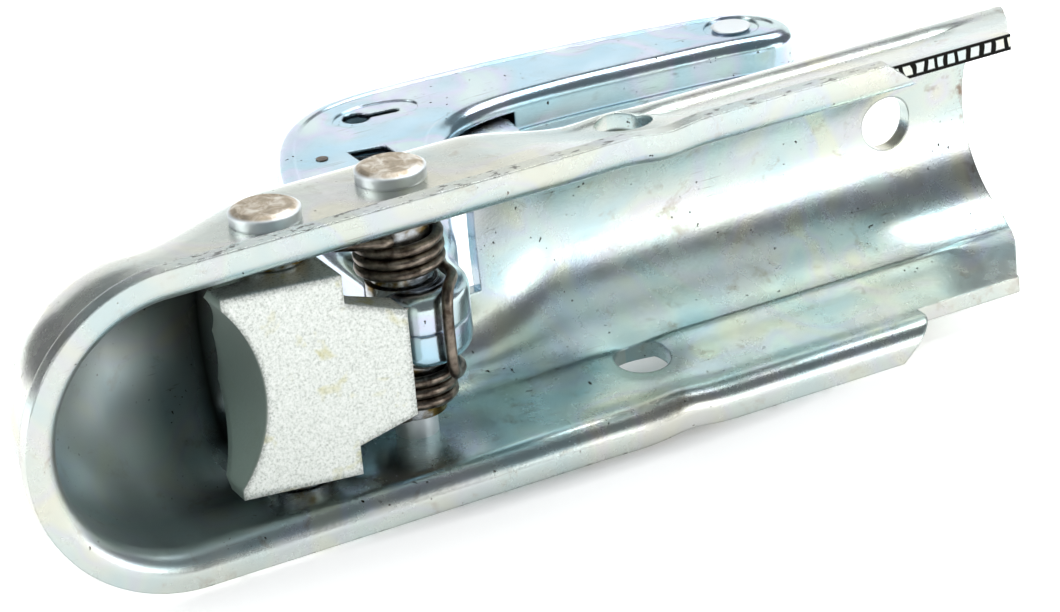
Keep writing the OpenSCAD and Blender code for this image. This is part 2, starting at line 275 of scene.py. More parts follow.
# %% [markdown]
# The outer surface is the inner one moved out by the sheet along its normals, and a strip of faces
# closes the open edges. A Solidify modifier does nearly the same. Doing it here lets the underside of
# the flange be held flat at the rim's height.

# %% Give the sheet its thickness
surface = bmesh.new()
made = [surface.verts.new(place(*p)) for p in points]
for quad in quads:
    surface.faces.new([made[k] for k in quad])
bmesh.ops.remove_doubles(surface, verts=surface.verts, dist=2e-6)
bmesh.ops.dissolve_degenerate(surface, dist=1e-6, edges=surface.edges)
surface.normal_update()
crown = place(60, 0, TUBE_Z + TUBE_R)
crown_face = min(surface.faces, key=lambda f: (f.calc_center_median() - crown).length)
if crown_face.normal.z > 0:
    bmesh.ops.reverse_faces(surface, faces=surface.faces)
    surface.normal_update()
surface.verts.index_update()
inner = [v.co.copy() for v in surface.verts]
outer = [v.co - v.normal * SHEET * MM for v in surface.verts]
for p in outer:
    p.z = max(p.z, 0)
to_outer = len(inner)
shell = [[v.index for v in f.verts] for f in surface.faces]
shell += [[v.index + to_outer for v in reversed(f.verts)] for f in surface.faces]
for a, b in [[v.index for v in e.verts] for e in surface.edges if e.is_boundary]:
    shell.append([a, b, b + to_outer, a + to_outer])
surface.free()
housing = piece("housing_pressing", inner + outer, shell, "housing", "zinc_housing", "housing")
print("housing faces:", len(housing.data.polygons))

# %% [markdown]
# A trimming tool then pierces and crops the pressing, and Booleans do the same to the mesh. A punch
# is an outline that is thickened either across the coupling or upward. Where it pierces the sheet it
# reaches well past both faces, so that it leaves no skin behind.

# %% Punches
def prism(outline, low, high, upright=False):
    """Points and faces of an outline thickened from low to high, across the coupling or upward."""
    n = len(outline)
    verts = [place(a, b, c) if upright else place(a, c, b) for c in (low, high) for a, b in outline]
    faces = [list(range(n))[::-1], list(range(n, 2 * n))]
    faces += [[i, (i + 1) % n, n + (i + 1) % n, n + i] for i in range(n)]
    return verts, faces


def circle(x, z, r, steps=96):
    """A round outline."""
    return [(x + r * math.cos(2 * math.pi * i / steps), z + r * math.sin(2 * math.pi * i / steps))
            for i in range(steps)]


def oblong(x0, x1, z0, z1):
    """A four-sided outline between two limits each way."""
    return [(x0, z0), (x1, z0), (x1, z1), (x0, z1)]


def cut(obj, punches):
    """Cuts every punch out of obj and keeps the result as its mesh."""
    tools = []
    for verts, faces in punches:
        tool = bpy.data.objects.new("punch", closed_mesh("punch", verts, faces))
        bpy.context.collection.objects.link(tool)
        step = obj.modifiers.new("cut", "BOOLEAN")
        step.operation, step.solver, step.object = "DIFFERENCE", "EXACT", tool
        tools.append(tool)
    graph = bpy.context.evaluated_depsgraph_get()
    result = bpy.data.meshes.new_from_object(obj.evaluated_get(graph))
    obj.modifiers.clear()
    obj.data = result
    for tool in tools:
        bpy.data.objects.remove(tool)
    shade(result)


print("a round punch has", len(prism(circle(0, 0, 1), 0, 1)[0]), "points")

# %% [markdown]
# The housing's rear corners are cut back. The last 36 mm of its flange are sheared off, with a slanted
# end. There is a hole for a bolt across the drawbar, one for an upright bolt, and a slot in the roof
# through which the lever swings.

# %% Trim and pierce the housing
BOLT_R = 6.1
UPRIGHT_X = 20.3
SLOT_REAR, SLOT_FRONT, SLOT_HALF = 123.8, 181.3, 9.7
SHEAR_Y, SHEAR_TOP, SHEAR_END, SHEAR_SLANT = 24.5, 7.6, 36.3, 13.0
FLANGE_OUT = 36                        # past the flange's edge
CORNER_CUT = [(-5, 3), (12.2, 3), (12.2, 7), (11.6, 9.2), (9.4, 12.4), (4.4, 20), (1.4, 26),
              (0.2, 30), (-0.2, 33), (-5, 33)]
punches = [prism(CORNER_CUT, -50, 50)]
for side in (-1, 1):
    sheared = [(-5, side * SHEAR_Y), (SHEAR_END, side * SHEAR_Y),
               (SHEAR_END + SHEAR_SLANT, side * FLANGE_OUT), (-5, side * FLANGE_OUT)]
    punches.append(prism(sheared, -3, SHEAR_TOP, upright=True))
punches.append(prism(circle(CROSS_X, CROSS_Z, BOLT_R), -40, 40))
punches.append(prism(circle(UPRIGHT_X, 0, BOLT_R), 30, 60, upright=True))
punches.append(prism(oblong(SLOT_REAR, SLOT_FRONT, -SLOT_HALF, SLOT_HALF), 30, 60, upright=True))
cut(housing, punches)
print("housing faces after trimming:", len(housing.data.polygons))

# %% [markdown]
# The lever is two pressed pans that meet on the centre line, which is why the grip has a seam along
# its underside and round edges outside. Its outline starts as some thirty points and the arc of
# the hub. Cutting the corners twice and then averaging neighbours gives the even curve of a
# pressing, which a line through the raw points would not.

# %% Outline of the lever
HUB_X, HUB_Z, HUB_R = 150.7, 22.6, 13.8
GRIP_AND_NECK = [
    (157.6, 44), (156.6, 56), (153.2, 70), (149.6, 82), (146, 93), (141.5, 103.5), (136.5, 111.5),
    (130, 118), (122, 122), (112, 123.3), (97, 122.8), (76, 121.6), (53, 118.2), (31, 114),
    (22, 111.5), (16.5, 107.5), (13.2, 102), (12.4, 97), (14, 91.5), (18, 88.4), (24, 88.8),
    (32, 91.2), (53, 93.4), (71, 95.2), (86, 95.4), (94, 94.8), (100.5, 92.6), (106, 88.5),
    (110.5, 82), (120, 62), (127, 46), (133.6, 31)]


def corners_cut(points, rounds):
    """Replaces every corner by two points, a quarter of the way to its neighbours."""
    p = np.array(points, float)
    for _ in range(rounds):
        pairs = np.stack([p[:-1] * 0.75 + p[1:] * 0.25, p[:-1] * 0.25 + p[1:] * 0.75], 1)
        p = np.concatenate([[p[0]], pairs.reshape(-1, 2), [p[-1]]])
    return p


outline = np.concatenate([corners_cut(GRIP_AND_NECK, 2), arc(HUB_X, HUB_Z, HUB_R, 165, 288, 40),
                          [(156.4, 12.2), (157.3, 14.2), (157.6, 17)]])
outline = along(np.concatenate([outline, outline[:1]]), 321)[:-1]
for _ in range(10):
    outline = (np.roll(outline, 1, 0) + 2 * outline + np.roll(outline, -1, 0)) / 4
print("points round the lever:", len(outline))

# %% [markdown]
# A pan is built from rings. The outline moves inward step by step over the rounded edge, past a low
# rim line that the press left on the flat side, and a second set of rings, one sheet further in, makes
# the inside. Moving a line inward can fold it at tight corners, so the cell checks that no edge of
# the innermost outer ring runs backwards.

# %% Rings of a pan
LEVER_HALF, LEVER_SHEET, LEVER_EDGE_R = 8.2, 1.8, 3.4
RIM_LINE_IN = LEVER_EDGE_R + 1.1


def inward(p, d):
    """A closed outline, listed counterclockwise, moved inward by d."""
    ahead, behind = np.roll(p, -1, 0) - p, p - np.roll(p, 1, 0)
    ahead /= np.linalg.norm(ahead, axis=1)[:, None]
    behind /= np.linalg.norm(behind, axis=1)[:, None]
    m = np.stack([-ahead[:, 1], ahead[:, 0]], 1)
    n = np.stack([-behind[:, 1], behind[:, 0]], 1)
    k = np.maximum(1 + (m * n).sum(1), 0.6)
    return p + d * (m + n) / k[:, None]


def lever_pan(side):
    """Points and faces of a pan: side is 1 on the left and -1 on the right.

    A ring is how far it lies inward of the outline and how far from the centre line. The outer
    rings are the eased seam, the rounded edge and the rim line, and the inner ones start at the seam.
    """
    outside = [(0.28, 0.02), (0.05, 0.3)]
    for a in np.radians(np.linspace(0, 90, 8)):
        outside.append((LEVER_EDGE_R * (1 - math.cos(a)), LEVER_HALF - LEVER_EDGE_R * (1 - math.sin(a))))
    outside += [(LEVER_EDGE_R + 0.7, LEVER_HALF), (RIM_LINE_IN, LEVER_HALF - 0.3)]
    inside = [(LEVER_SHEET, 0.02), (LEVER_SHEET, 4.5), (LEVER_SHEET + 0.6, 5.7), (LEVER_SHEET + 2, 6.4)]
    rings = outside + inside
    n, last_outside = len(outline), len(outside) - 1
    verts = [place(x, side * y, z) for d, y in rings for x, z in inward(outline, d)]
    joins = [(r, r + 1) for r in range(len(rings) - 1) if r != last_outside]
    joins.append((0, last_outside + 1))
    faces = [[a * n + i, a * n + (i + 1) % n, b * n + (i + 1) % n, b * n + i]
             for a, b in joins for i in range(n)]
    faces += [[r * n + i for i in range(n)] for r in (last_outside, len(rings) - 1)]
    return verts, faces


inset = inward(outline, RIM_LINE_IN)
same_way = (np.roll(inset, -1, 0) - inset) * (np.roll(outline, -1, 0) - outline)
print("edges that run backwards:", int((same_way.sum(1) < 0).sum()))

# %% [markdown]
# Both pans are pierced for the hub, the catch's pin, the rivet at the grip and the catch itself, and
# dished under the rivet's head. The left one also has a keyhole for a lock, in a shallow oval pocket,
# and a small window. The holes could be painted on, but the light has to fall through them.

# %% Two pans with their holes
PIN_X, PIN_Z = 135.8, 90.7
GRIP_X, GRIP_Z = 25.9, 101.4
KEY_X, KEY_Z = 119, 108.2
KEY_TURN, KEY_REACH = math.radians(8), 9
BUSH_R, PIN_R, RIVET_R, DISH_R, KEY_R = 7.55, 1.35, 3.05, 6.4, 3.2
POCKET_LONG, POCKET_HIGH = 10.2, 6.2
CATCH_OPENING = oblong(86.2, 106.6, 80, 97.6)
WINDOW = [(121.5, 82.5), (129.8, 82.5), (129.8, 90.6), (121.5, 88.9)]
tip = Vector((KEY_X - KEY_REACH * math.cos(KEY_TURN), KEY_Z - KEY_REACH * math.sin(KEY_TURN)))
middle_x, middle_z = (KEY_X + tip.x) / 2, (KEY_Z + tip.y) / 2
POCKET = [(middle_x + POCKET_LONG * a, middle_z + POCKET_HIGH * b) for a, b in circle(0, 0, 1, 64)]
KEY_SLOT = [(KEY_X, KEY_Z + 1.2), (KEY_X, KEY_Z - 1.2), (tip.x, tip.y - 1.2), (tip.x - 0.9, tip.y - 0.8),
            (tip.x - 1.2, tip.y), (tip.x - 0.9, tip.y + 0.8), (tip.x, tip.y + 1.2)]
lever_pans = []
for side, word in ((1, "left"), (-1, "right")):
    pan = piece("lever_pan_" + word, *lever_pan(side), "lever", "zinc_lever", "lever_" + word)
    holes = [(circle(HUB_X, HUB_Z, BUSH_R), -1, 10), (circle(PIN_X, PIN_Z, PIN_R, 32), -1, 10),
             (circle(GRIP_X, GRIP_Z, RIVET_R, 48), -1, 10), (CATCH_OPENING, -1, 4.6),
             (circle(GRIP_X, GRIP_Z, DISH_R, 64), 7.5, 10.5)]
    if word == "left":
        holes += [(POCKET, 7.6, 10), (circle(KEY_X, KEY_Z, KEY_R, 64), 5, 10), (KEY_SLOT, 5, 10),
                  (WINDOW, 5, 10)]
    cut(pan, [prism(hole, *sorted((side * near, side * far))) for hole, near, far in holes])
    lever_pans.append(pan)
print("lever faces:", [len(pan.data.polygons) for pan in lever_pans])

# %% [markdown]
# Both springs are bent from round wire. A tube of mesh rings would need a ring at every bend, turned
# the right way. A curve with a round bevel is the natural way to draw wire, because its thickness
# stays true through every bend.

# %% Drawing a wire
def wire(name, line, radius, body, node):
    """A round wire through the points, drawn as a curve and kept as a mesh."""
    curve = bpy.data.curves.new(name, "CURVE")
    curve.dimensions = "3D"
    curve.bevel_depth = radius * MM
    curve.bevel_resolution = 4
    curve.use_fill_caps = True
    spline = curve.splines.new("NURBS")
    spline.points.add(len(line) - 1)
    for point, p in zip(spline.points, line):
        point.co = (*place(*p), 1)
    spline.order_u = 3
    spline.use_endpoint_u = True
    spline.resolution_u = 3
    drawn = bpy.data.objects.new("wire_line", curve)
    bpy.context.collection.objects.link(drawn)
    mesh = bpy.data.meshes.new_from_object(drawn.evaluated_get(bpy.context.evaluated_depsgraph_get()))
    bpy.data.objects.remove(drawn)
    for face in mesh.polygons:
        face.use_smooth = True
    return enter(name, mesh, body, node)


print("a wire takes its points and its radius in millimetres")

# %% [markdown]
# The jaw spring is one dark wire: a leg on the back of the jaw, a coil on the lever rivet, a loop
# under the hub, the second coil and the second leg. Its halves mirror each other, so the points of
# one half are worked out for either side, from the centre line outward.

# %% Jaw spring
WIRE_R, COIL_R = 1.2, 8.3
COIL_Y, TURNS, PITCH = 10.0, 4, 2.5    # inner end from the centre line, turns a side, rise per turn
LOOP_R, LOOP_TURN = 15.6, math.radians(-98)
LEG_TIP = (170.9, 20.5, 22.3)
PER_TURN = 24                          # points in a turn


def half_spring(side):
    """Loop, coil and leg on one side."""
    x, z = HUB_X + LOOP_R * math.cos(LOOP_TURN), HUB_Z + LOOP_R * math.sin(LOOP_TURN)
    line = [(x, side * 5, z), (x - 0.4, side * 7.4, z + 0.3), (x - 1.4, side * 9.8, z + 1.6),
            (HUB_X - 7.3, side * COIL_Y, HUB_Z - 9.5)]
    for i in range(int(PER_TURN * (TURNS - 0.25)) + 1):
        a = math.radians(-150 - i * 360 / PER_TURN)
        line.append((HUB_X + COIL_R * math.cos(a), side * (COIL_Y + PITCH * i / PER_TURN),
                     HUB_Z + COIL_R * math.sin(a)))
    end_x, end_y, end_z = line[-1]
    line.append(((LEG_TIP[0] + end_x) / 2, end_y, (LEG_TIP[2] + end_z) / 2))
    line.append((LEG_TIP[0], side * LEG_TIP[1], LEG_TIP[2]))
    return line


spring_line = half_spring(-1)[::-1] + half_spring(1)
jaw_wire = wire("jaw_spring_wire", spring_line, WIRE_R, "housing", "spring")
print("points of the jaw spring:", len(spring_line))

# %% [markdown]
# A small compression spring pushes the catch down, and it leans on the roof of the lever. It gets
# shorter when the catch is pressed.

# %% Catch spring
COIL_X, COIL_FOOT, COIL_HEAD = 100, 103.8, 120.4
CATCH_COIL_R, CATCH_WIRE_R = 2.2, 0.4
catch_line = []
for i in range(91):
    a = math.radians(24 * i)
    catch_line.append((COIL_X + CATCH_COIL_R * math.cos(a), CATCH_COIL_R * math.sin(a),
                       COIL_FOOT + (COIL_HEAD - COIL_FOOT) * i / 90))
catch_wire = wire("catch_spring_wire", catch_line, CATCH_WIRE_R, "lever", "catch_spring")
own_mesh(catch_wire)
print("catch spring faces:", len(catch_wire.data.polygons))

# %% [markdown]
# Materials come next. Colours are picked as sRGB hex values, and a shader wants them linear. One
# function adds any shader node with its settings and its links, so the lines below read as what
# feeds what. Inputs are given by name, or as a list that fills the sockets in use from the top.

# %% Colours and nodes
def colour(hex_code):
    """An sRGB hex colour as linear red, green, blue and full alpha."""
    parts = [int(hex_code[i:i + 2], 16) / 255 for i in (1, 3, 5)]
    return [c / 12.92 if c <= 0.04045 else ((c + 0.055) / 1.055) ** 2.4 for c in parts] + [1.0]


def add(tree, kind, inputs=(), stops=(), **settings):
    """Adds a node. An input is a node, whose first output in use is linked, or a socket, a hex
    colour or a value. Stops are a ramp's (position, hex colour or grey) pairs."""
    node = tree.nodes.new("ShaderNode" + kind)
    for setting, value in settings.items():
        setattr(node, setting, value)
    for _ in stops[2:]:
        node.color_ramp.elements.new(0.5)
    for i, (position, value) in enumerate(stops):
        element = node.color_ramp.elements[i]
        element.position = position
        element.color = colour(value) if isinstance(value, str) else (value, value, value, 1)
    in_use = [socket for socket in node.inputs if socket.enabled]
    for key, value in inputs.items() if isinstance(inputs, dict) else enumerate(inputs):
        socket = node.inputs[key] if isinstance(key, str) else in_use[key]
        if isinstance(value, bpy.types.Node):
            value = next(output for output in value.outputs if output.enabled)
        if isinstance(value, bpy.types.NodeSocket):
            tree.links.new(value, socket)
        else:
            socket.default_value = colour(value) if isinstance(value, str) else value
    return node


print("mid grey is", round(colour("#808080")[0], 3), "in linear light")

# %% [markdown]
# Every finish here is a metal, so it starts and ends alike. It starts with the object's own
# coordinates in millimetres, which makes each pattern's scale a real size, and with normals that
# round off sharp edges, because no stamped or forged edge is as sharp as a mesh. It ends in a fully
# metallic shader, whose index of refraction stays as it is.

# %% Start and end of a metal
def start_metal(name, edge_mm):
    """A new material, its empty tree, coordinates in millimetres and softened normals."""
    material = bpy.data.materials.new(name)
    material.use_nodes = True
    tree = material.node_tree
    tree.nodes.clear()
    where = add(tree, "Mapping", {"Vector": add(tree, "TexCoord").outputs["Object"],
                                  "Scale": [1 / MM] * 3})
    soft = add(tree, "Bevel", {"Radius": edge_mm * MM}, samples=4)
    return material, tree, where, soft


def end_metal(tree, base, roughness, bump):
    """The metallic shader and the output: each look is a node or a value."""
    shader = add(tree, "BsdfPrincipled", {"Metallic": 1.0, "Base Color": base,
                                          "Roughness": roughness, "Normal": bump})
    add(tree, "OutputMaterial", {"Surface": shader})


def dress(objects, material):
    """Gives each object this finish and no other."""
    for obj in objects:
        obj.data.materials.clear()
        obj.data.materials.append(material)
    print(material.name, "on", [obj.name for obj in objects])


print("pattern coordinates are in millimetres, or metres times", 1 / MM)

# %% [markdown]
# The big sheets are rolled steel with bright zinc plate. New plate is a pale, slightly blue mirror
# with a faint bloom of blue, violet and yellow, and handling leaves it cloudy, stained and scuffed.
# Zinc reflects all colours nearly alike, so the base stays pale and the marks are laid over it, each
# at its own size. Grain finer than half a millimetre would not show, so it is drawn that coarse.

# %% Patterns in zinc plate
OLD_BLOOM = ("#9CC6D4", "#BDBFDC", "#D6D4B6")
PLATE_PATTERNS = (                # size in mm, detail, roughness and distortion of a noise
    ("cloud", 34, 2, 0.5, 0.6),   # slow drift from a cool tone to a warm one
    ("hue", 21, 1, 0.4, 1.2),     # bloom
    ("stain", 6, 4, 0.62, 0.3),   # finger and water marks
    ("pores", 1.1, 1, 0.4, 0),    # dark pinholes, only the peaks of this noise
    ("patch", 12, 2, 0.5, 0),     # where pinholes and scratches gather
    ("rub", 9, 5, 0.65, 0),       # uneven gloss
    ("peel", 2.4, 3, 0.55, 0),    # orange peel of the stretched sheet
    ("grain", 0.5, 2, 0.5, 0))    # grain of the plate


def plate_patterns(tree, where):
    """One noise for each row of the table, by its word."""
    look = {}
    for word, size_mm, detail, roughness, warp in PLATE_PATTERNS:
        look[word] = add(tree, "TexNoise", {"Vector": where, "Scale": 1 / size_mm, "Detail": detail,
                                            "Roughness": roughness, "Distortion": warp})
    return look


print("patterns in the plate, in mm:", {row[0]: row[1] for row in PLATE_PATTERNS})

# %% [markdown]
# Pinholes are the dark peaks of a fine noise, and scratches are a noise of half a millimetre that is
# drawn out twenty-two times along the coupling, since that is how the sheet was dragged. Neither is
# spread evenly, so a coarser noise says where they gather. Pinholes are also duller than the plate.

# %% Colour, gloss and relief of the plate
def plate_marks(tree, where, look):
    """Masks of the pinholes and of the scratches."""
    patch = add(tree, "ValToRGB", [look["patch"]], stops=((0.5, 0.0), (0.58, 1.0)))
    pores = add(tree, "ValToRGB", [look["pores"]], stops=((0.735, 0.0), (0.76, 1.0)))
    pinholes = add(tree, "Math", [pores, patch], operation="MULTIPLY")
    lengthwise = add(tree, "Mapping", {"Vector": where, "Rotation": (0.1, 0.05, 0.14),
                                       "Scale": (1, 0.045, 1)})
    streaks = add(tree, "TexNoise", {"Vector": lengthwise, "Scale": 1 / 0.55, "Detail": 2})
    scratches = add(tree, "ValToRGB", [streaks], stops=((0.66, 0.0), (0.72, 0.4)))
    return pinholes, add(tree, "Math", [scratches, patch], operation="MULTIPLY")


def zinc_plate(tree, where, soft, cool, warm, bloom, gloss, stain):
    """Colour, roughness and bump of bright zinc plate, as three nodes."""
    look = plate_patterns(tree, where)
    pinholes, scratches = plate_marks(tree, where, look)
    tone = add(tree, "ValToRGB", [look["cloud"]], stops=((0.38, cool), (0.62, warm)))
    tint = add(tree, "ValToRGB", [look["hue"]],
               stops=((0.36, bloom[0]), (0.46, cool), (0.54, bloom[1]), (0.66, bloom[2])))
    base = add(tree, "Mix", [0.35, tone, tint], data_type="RGBA")
    stained = add(tree, "ValToRGB", [look["stain"]], stops=((0.60, 0.0), (0.74, 1.0)))
    stained = add(tree, "Math", [stained, stain], operation="MULTIPLY")
    base = add(tree, "Mix", [stained, base, "#8B7A5E"], data_type="RGBA")
    base = add(tree, "Mix", [pinholes, base, "#2A2620"], data_type="RGBA")
    base = add(tree, "Mix", [scratches, base, "#6A655B"], data_type="RGBA")
    rubbed = add(tree, "Math", [look["rub"], 0.26, gloss - 0.12], operation="MULTIPLY_ADD")
    dull = add(tree, "Math", [pinholes, 0.4], operation="MULTIPLY")
    roughness = add(tree, "Math", [rubbed, dull], operation="ADD", use_clamp=True)
    grain = add(tree, "Math", [look["grain"], 0.6], operation="MULTIPLY")
    height = add(tree, "Math", [look["peel"], grain], operation="ADD")
    bump = add(tree, "Bump", {"Height": height, "Normal": soft, "Distance": 0.05 * MM, "Strength": 0.35})
    return base, roughness, bump


print("a plate is mixed from", len(PLATE_PATTERNS) + 1, "noises")

# %% [markdown]
# The housing's plate has more on it, and each of those marks belongs to a place. They could be
# painted on an image, but the part's own coordinates give sharper limits and need no unwrapping. The
# helper makes a mask from any coordinate, and its soft ends keep the marks from looking stencilled.

# %% A mask between two limits
def between(value_mm, low, high, soft_mm=0.4):
    """1 where a value lies between two limits, with a soft start and end inside them."""
    rise = add(tree, "MapRange", [value_mm, low, low + soft_mm])
    fall = add(tree, "MapRange", [value_mm, high - soft_mm, high, 1, 0])
    return add(tree, "Math", [rise, fall], operation="MULTIPLY")


print("a mask fades over 0.4 mm where nothing else is said")

# %% [markdown]
# The first marks depend on the side of the sheet. Its outside has been handled and is creamy. Its
# inside is still bluish and satin in the cup, where the ball rubs, and painted near black round the jaw
# as shade.
# The line from the ball's centre tells the sides apart: it meets the inner surface from the front
# and the outer one from behind. The cup is what lies within 33 mm of that centre.

# %% Inside and outside of the housing
PAINTED_SHADE_REAR, PAINTED_SHADE_FRONT = 164, 212
housing_zinc, tree, where, soft = start_metal("bright_zinc_plate", 0.7)
base, roughness, bump = zinc_plate(tree, where, soft, "#BBD0D1", "#D3D5C8", OLD_BLOOM, 0.25, 0.5)
left_mm, back_mm, up_mm = add(tree, "SeparateXYZ", [where]).outputs
from_ball = add(tree, "VectorMath", [where, place(BALL_X, 0, BALL_Z) / MM], operation="SUBTRACT")
facing = add(tree, "VectorMath", [from_ball, add(tree, "TexCoord").outputs["Normal"]],
             operation="DOT_PRODUCT")
inside = add(tree, "Math", [facing, -0.2, 0.5], operation="MULTIPLY_ADD", use_clamp=True)
handled = add(tree, "Math", [inside, -0.4, 0.4], operation="MULTIPLY_ADD", use_clamp=True)
base = add(tree, "Mix", [handled, base, "#DAD8CE"], data_type="RGBA")
# painted shade: the inside round the jaw is painted near black, where the jaw and the cup shade each
# other
painted_shade_zone = between(back_mm, LENGTH / 2 - PAINTED_SHADE_FRONT, LENGTH / 2 - PAINTED_SHADE_REAR, 24)
painted_shade_mask = add(tree, "Math", [painted_shade_zone, between(up_mm, 9, 60, 8)], operation="MULTIPLY")
painted_shade_inside = add(tree, "Math", [painted_shade_mask, inside], operation="MULTIPLY")
base = add(tree, "Mix", [painted_shade_inside, base, "#161A18"], data_type="RGBA")
to_ball = add(tree, "VectorMath", [from_ball], operation="LENGTH")
cup = add(tree, "Math", [inside, add(tree, "MapRange", [to_ball, 33.0, 29.0])], operation="MULTIPLY")
free_of_painted_shade = add(tree, "Math", [0.55, painted_shade_mask], operation="SUBTRACT", use_clamp=True)
rubbed = add(tree, "Math", [cup, free_of_painted_shade], operation="MULTIPLY")
base = add(tree, "Mix", [rubbed, base, "#E4EFEE"], data_type="RGBA")
roughness = add(tree, "Mix", [cup, roughness, 0.42])
print("grease from x =", PAINTED_SHADE_REAR, "to", PAINTED_SHADE_FRONT, "mm")

# %% [markdown]
# The other marks are where the sheet was cut. The flange's edge is torn and holds dark crumbs. The
# sheared strip at the rear left is black along both sides, and between them the black comes in
# stripes some 3 mm apart. A wave texture repeats every 0.314 units at scale 1, which gives the
# scale for stripes of a known width. The cut rear end has started to rust.

# %% Cut edges of the housing
WAVE_PERIOD, STRIPE_MM = 0.314159, 2.856
side_mm = add(tree, "Math", [left_mm], operation="ABSOLUTE")
drawn_out = add(tree, "Mapping", {"Vector": where, "Scale": (1, 0.35, 1)})
crumbs = add(tree, "TexNoise", {"Vector": drawn_out, "Scale": 1 / 1.3, "Detail": 3, "Roughness": 0.7})
crumbs = add(tree, "ValToRGB", [crumbs], stops=((0.56, 0.0), (0.62, 0.8)))
rim = add(tree, "Math", [between(side_mm, 33.55, 40), between(up_mm, -1, 4)], operation="MULTIPLY")
crumbs = add(tree, "Math", [rim, crumbs], operation="MULTIPLY")
base = add(tree, "Mix", [crumbs, base, "#2E2A25"], data_type="RGBA")
stripes = add(tree, "TexWave", {"Vector": where, "Scale": WAVE_PERIOD / STRIPE_MM, "Distortion": 6,
                                "Detail": 2, "Detail Scale": 0.9}, bands_direction="Y").outputs["Fac"]
stripes = add(tree, "ValToRGB", [stripes], stops=((0.60, 0.0), (0.72, 1.0)))
along_sides = add(tree, "Math", [1.0, between(side_mm, 26.9, 29.3, 0.25)], operation="SUBTRACT")
stripes = add(tree, "Math", [stripes, along_sides], operation="MAXIMUM")
strip = add(tree, "Math", [between(up_mm, 6.9, 8.15, 0.2), between(back_mm, 71, 130)],
            operation="MULTIPLY")
strip = add(tree, "Math", [strip, between(left_mm, 10, 50)], operation="MULTIPLY")
stripes = add(tree, "Math", [strip, stripes], operation="MULTIPLY")
base = add(tree, "Mix", [stripes, base, "#191917"], data_type="RGBA")
rust = add(tree, "TexNoise", {"Vector": where, "Scale": 1 / 5, "Detail": 4, "Roughness": 0.65})
rust = add(tree, "ValToRGB", [rust], stops=((0.5, 0.0), (0.64, 0.8)))
rust = add(tree, "Math", [between(back_mm, 117.2, 130, 3.2), rust], operation="MULTIPLY")
base = add(tree, "Mix", [rust, base, "#7A5C44"], data_type="RGBA")
end_metal(tree, base, roughness, bump)
dress([housing], housing_zinc)

# %% [markdown]
# The lever and its catch have the same plate, but newer and cleaner. The lever's is bluer, with more
# violet in its bloom, and smoother than the housing's. The catch is stamped from thinner sheet and
# stays nearly neutral.

# %% Zinc plate of the lever and the catch
for name, targets, cool, warm, bloom, gloss in (
        ("blue_zinc_plate", lever_pans, "#AECBD8", "#CCDDE6", ("#9FD0E6", "#D7C4E4", "#DDE9D9"), 0.18),
        ("plated_catch", [nodes["catch"]], "#C9D3D8", "#DCE0E0", OLD_BLOOM, 0.26)):
    plate, tree, where, soft = start_metal(name, 0.7)
    end_metal(tree, *zinc_plate(tree, where, soft, cool, warm, bloom, gloss, 0.15))
    dress(targets, plate)

# %% [markdown]
# The jaw is a forging with thin zinc over a scaled skin: almost white, matt and grainy, with
# yellow-green grease. Its edges get painted shade, and its face that looks forward a painted darker grey
# for the dark cup it reflects. The edge shade lies where the softened normal leaves the true one, which
# is only near an edge.

# %% Jaw finish
jaw_zinc, tree, where, soft = start_metal("grainy_zinc_forging", 2.4)
grain = add(tree, "TexNoise", {"Vector": where, "Scale": 1 / 0.55, "Detail": 4, "Roughness": 0.7})
base = add(tree, "ValToRGB", [grain], stops=((0.30, "#B2B7B1"), (0.46, "#DCE1DB"), (0.62, "#EEF1ED")))
# painted shade: the jaw is darkened along its edges, where the softened normal bends away from the true
# one
aligned = add(tree, "VectorMath", [soft, add(tree, "NewGeometry").outputs["True Normal"]],
              operation="DOT_PRODUCT")
near_edge = add(tree, "Math", [1.0, aligned], operation="SUBTRACT")
near_edge = add(tree, "Math", [near_edge, 4.0], operation="MULTIPLY", use_clamp=True)
painted_edge_shade = add(tree, "ValToRGB", [grain], stops=((0.42, 0.75), (0.56, 0.1)))
painted_edge_shade = add(tree, "Math", [near_edge, painted_edge_shade], operation="MULTIPLY")
base = add(tree, "Mix", [painted_edge_shade, base, "#7A817B"], data_type="RGBA")
smear = add(tree, "TexNoise", {"Vector": where, "Scale": 1 / 8, "Detail": 3, "Roughness": 0.6,
                               "Distortion": 0.4})
smear = add(tree, "ValToRGB", [smear], stops=((0.58, 0.0), (0.72, 0.6)))
base = add(tree, "Mix", [smear, base, "#C4BF72"], data_type="RGBA")
# painted shade: faces that look forward are painted darker grey, standing for the dark cup they reflect
normal = add(tree, "SeparateXYZ", [add(tree, "TexCoord").outputs["Normal"]])
forward = add(tree, "Math", [normal.outputs["Y"], -1.0], operation="MULTIPLY")
painted_forward_shade = add(tree, "ValToRGB", [forward], stops=((0.35, 0.0), (0.75, 0.92)))
base = add(tree, "Mix", [painted_forward_shade, base, "#A9B3AA"], data_type="RGBA")
dents = add(tree, "TexNoise", {"Vector": where, "Scale": 1 / 2.2, "Detail": 4, "Roughness": 0.6})
height = add(tree, "Math", [dents, grain], operation="ADD")
bump = add(tree, "Bump", {"Height": height, "Normal": soft, "Distance": 0.12 * MM, "Strength": 0.6})
end_metal(tree, base, 0.5, bump)
dress([nodes["jaw"]], jaw_zinc)

# %% [markdown]
# A forging has no sharp edge at all, and bump can't change an outline. So the jaw also gets a Bevel
# modifier, which rounds its real edges and leaves the CAD mesh under it as it was.

# %% Rounded edges of the jaw
rounding = nodes["jaw"].modifiers.new("forged_edges", "BEVEL")
rounding.width = 2.2 * MM
rounding.segments = 3
rounding.limit_method = "ANGLE"
rounding.angle_limit = math.radians(40)
rounding.harden_normals = True
print("jaw edges rounded by", round(rounding.width / MM, 1), "mm")

# %% [markdown]
# The rivets are upset over the walls while hot, which wears the plate off their tops: those are tan
# with pale patches a few millimetres wide, and the sides stay bright. The mask for the tops is the
# distance from the centre line, where they begin at 32 mm.

